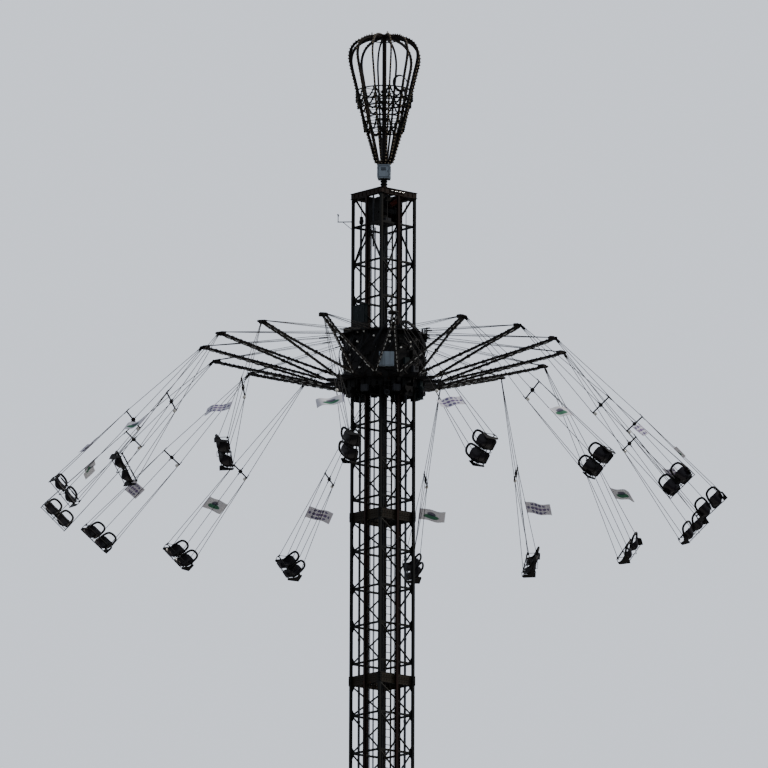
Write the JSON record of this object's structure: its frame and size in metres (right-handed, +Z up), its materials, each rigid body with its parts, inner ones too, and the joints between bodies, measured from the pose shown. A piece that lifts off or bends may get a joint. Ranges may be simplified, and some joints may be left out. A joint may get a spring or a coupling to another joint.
{
  "type": "tower swing ride",
  "caption": "Lattice tower swing ride: a lift carriage with a turning hub and arms that carries hanging double seats.",
  "frame": {"origin": "middle of the base frame's underside, on the ground", "axes": "+Z up the tower; the tower's lattice sides face -Y, +X, +Y and -X"},
  "size_m": [24.9556, 24.9556, 39.45],
  "materials": {
    "tower_paint": "satin, weathered",
    "rail_paint": "satin, greased",
    "ladder_paint": "satin",
    "pipe_grey": "galvanised",
    "crown_paint": "satin",
    "housing_paint": "satin",
    "cabinet_paint": "semi-gloss",
    "teal_paint": "satin",
    "hub_paint": "satin",
    "arm_paint": "satin",
    "cage_paint": "satin",
    "seat_shell": "moulded",
    "rope_steel": "wire rope",
    "lamp_glass": "clear lamp caps",
    "flag_cloth": "woven polyester"
  },
  "bodies": {
    "tower": {"base_frame": "tower_paint", "tower_leg_1": "tower_paint", "tower_leg_2": "tower_paint", "tower_leg_3": "tower_paint", "tower_leg_4": "tower_paint", "tower_lattice_south": "tower_paint", "tower_lattice_east": "tower_paint", "tower_lattice_north": "tower_paint", "tower_lattice_west": "tower_paint", "guide_rail_south": "rail_paint", "guide_rail_east": "rail_paint", "guide_rail_north": "rail_paint", "guide_rail_west": "rail_paint", "ladder": "ladder_paint", "service_run": "pipe_grey", "crown_frame": "crown_paint", "sheave_housing": "housing_paint", "mast_post": "pipe_grey", "mast_cabinet": "cabinet_paint", "light_cage": "cage_paint", "wind_gauge": "pipe_grey"},
    "carriage": {"lift_carriage": "hub_paint", "carriage_cabinet": "teal_paint"},
    "rotor": {"hub_drum": "hub_paint", "hub_platform": "hub_paint", "hub_cabinet": "cabinet_paint", "arm_01": "arm_paint", "arm_02": "arm_paint", "arm_03": "arm_paint", "arm_04": "arm_paint", "arm_05": "arm_paint", "arm_06": "arm_paint", "arm_07": "arm_paint", "arm_08": "arm_paint", "arm_09": "arm_paint", "arm_10": "arm_paint", "arm_11": "arm_paint", "arm_12": "arm_paint", "arm_13": "arm_paint", "arm_14": "arm_paint", "arm_15": "arm_paint", "arm_16": "arm_paint"},
    "swing_01": {"swing_01": "seat_shell"},
    "swing_02": {"swing_02": "seat_shell"},
    "swing_03": {"swing_03": "seat_shell"},
    "swing_04": {"swing_04": "seat_shell"},
    "swing_05": {"swing_05": "seat_shell"},
    "swing_06": {"swing_06": "seat_shell"},
    "swing_07": {"swing_07": "seat_shell"},
    "swing_08": {"swing_08": "seat_shell"},
    "swing_09": {"swing_09": "seat_shell"},
    "swing_10": {"swing_10": "seat_shell"},
    "swing_11": {"swing_11": "seat_shell"},
    "swing_12": {"swing_12": "seat_shell"},
    "swing_13": {"swing_13": "seat_shell"},
    "swing_14": {"swing_14": "seat_shell"},
    "swing_15": {"swing_15": "seat_shell"},
    "swing_16": {"swing_16": "seat_shell"}
  },
  "joints": [
    {"name": "carriage_lift", "type": "slide", "parent": "tower", "child": "carriage", "axis": [0, 0, 1], "range_m": [-18.75, 3.2]},
    {"name": "rotor_spin", "type": "hinge", "parent": "carriage", "child": "rotor", "pos_m": [0, 0, 27.68], "axis": [0, 0, 1], "continuous": true},
    {"name": "swing_01_hang", "type": "hinge", "parent": "rotor", "child": "swing_01", "pos_m": [0.91298, -6.49616, 27.68], "axis": [-0.7912, -0.6115, 0], "range_deg": [-43.9, 5]},
    {"name": "swing_02_hang", "type": "hinge", "parent": "rotor", "child": "swing_02", "pos_m": [3.32945, -5.65229, 27.68], "axis": [-0.497, -0.8678, 0], "range_deg": [-43.9, 5]},
    {"name": "swing_03_hang", "type": "hinge", "parent": "rotor", "child": "swing_03", "pos_m": [5.23905, -3.94791, 27.68], "axis": [-0.1271, -0.9919, 0], "range_deg": [-43.9, 5]},
    {"name": "swing_04_hang", "type": "hinge", "parent": "rotor", "child": "swing_04", "pos_m": [6.35105, -1.64249, 27.68], "axis": [0.2622, -0.965, 0], "range_deg": [-43.9, 5]},
    {"name": "swing_05_hang", "type": "hinge", "parent": "rotor", "child": "swing_05", "pos_m": [6.49616, 0.91298, 27.68], "axis": [0.6115, -0.7912, 0], "range_deg": [-43.9, 5]},
    {"name": "swing_06_hang", "type": "hinge", "parent": "rotor", "child": "swing_06", "pos_m": [5.65229, 3.32945, 27.68], "axis": [0.8678, -0.497, 0], "range_deg": [-43.9, 5]},
    {"name": "swing_07_hang", "type": "hinge", "parent": "rotor", "child": "swing_07", "pos_m": [3.94791, 5.23905, 27.68], "axis": [0.9919, -0.1271, 0], "range_deg": [-43.9, 5]},
    {"name": "swing_08_hang", "type": "hinge", "parent": "rotor", "child": "swing_08", "pos_m": [1.64249, 6.35105, 27.68], "axis": [0.965, 0.2622, 0], "range_deg": [-43.9, 5]},
    {"name": "swing_09_hang", "type": "hinge", "parent": "rotor", "child": "swing_09", "pos_m": [-0.91298, 6.49616, 27.68], "axis": [0.7912, 0.6115, 0], "range_deg": [-43.9, 5]},
    {"name": "swing_10_hang", "type": "hinge", "parent": "rotor", "child": "swing_10", "pos_m": [-3.32945, 5.65229, 27.68], "axis": [0.497, 0.8678, 0], "range_deg": [-43.9, 5]},
    {"name": "swing_11_hang", "type": "hinge", "parent": "rotor", "child": "swing_11", "pos_m": [-5.23905, 3.94791, 27.68], "axis": [0.1271, 0.9919, 0], "range_deg": [-43.9, 5]},
    {"name": "swing_12_hang", "type": "hinge", "parent": "rotor", "child": "swing_12", "pos_m": [-6.35105, 1.64249, 27.68], "axis": [-0.2622, 0.965, 0], "range_deg": [-43.9, 5]},
    {"name": "swing_13_hang", "type": "hinge", "parent": "rotor", "child": "swing_13", "pos_m": [-6.49616, -0.91298, 27.68], "axis": [-0.6115, 0.7912, 0], "range_deg": [-43.9, 5]},
    {"name": "swing_14_hang", "type": "hinge", "parent": "rotor", "child": "swing_14", "pos_m": [-5.65229, -3.32945, 27.68], "axis": [-0.8678, 0.497, 0], "range_deg": [-43.9, 5]},
    {"name": "swing_15_hang", "type": "hinge", "parent": "rotor", "child": "swing_15", "pos_m": [-3.94791, -5.23905, 27.68], "axis": [-0.9919, 0.1271, 0], "range_deg": [-43.9, 5]},
    {"name": "swing_16_hang", "type": "hinge", "parent": "rotor", "child": "swing_16", "pos_m": [-1.64249, -6.35105, 27.68], "axis": [-0.965, -0.2622, 0], "range_deg": [-43.9, 5]}
  ]
}
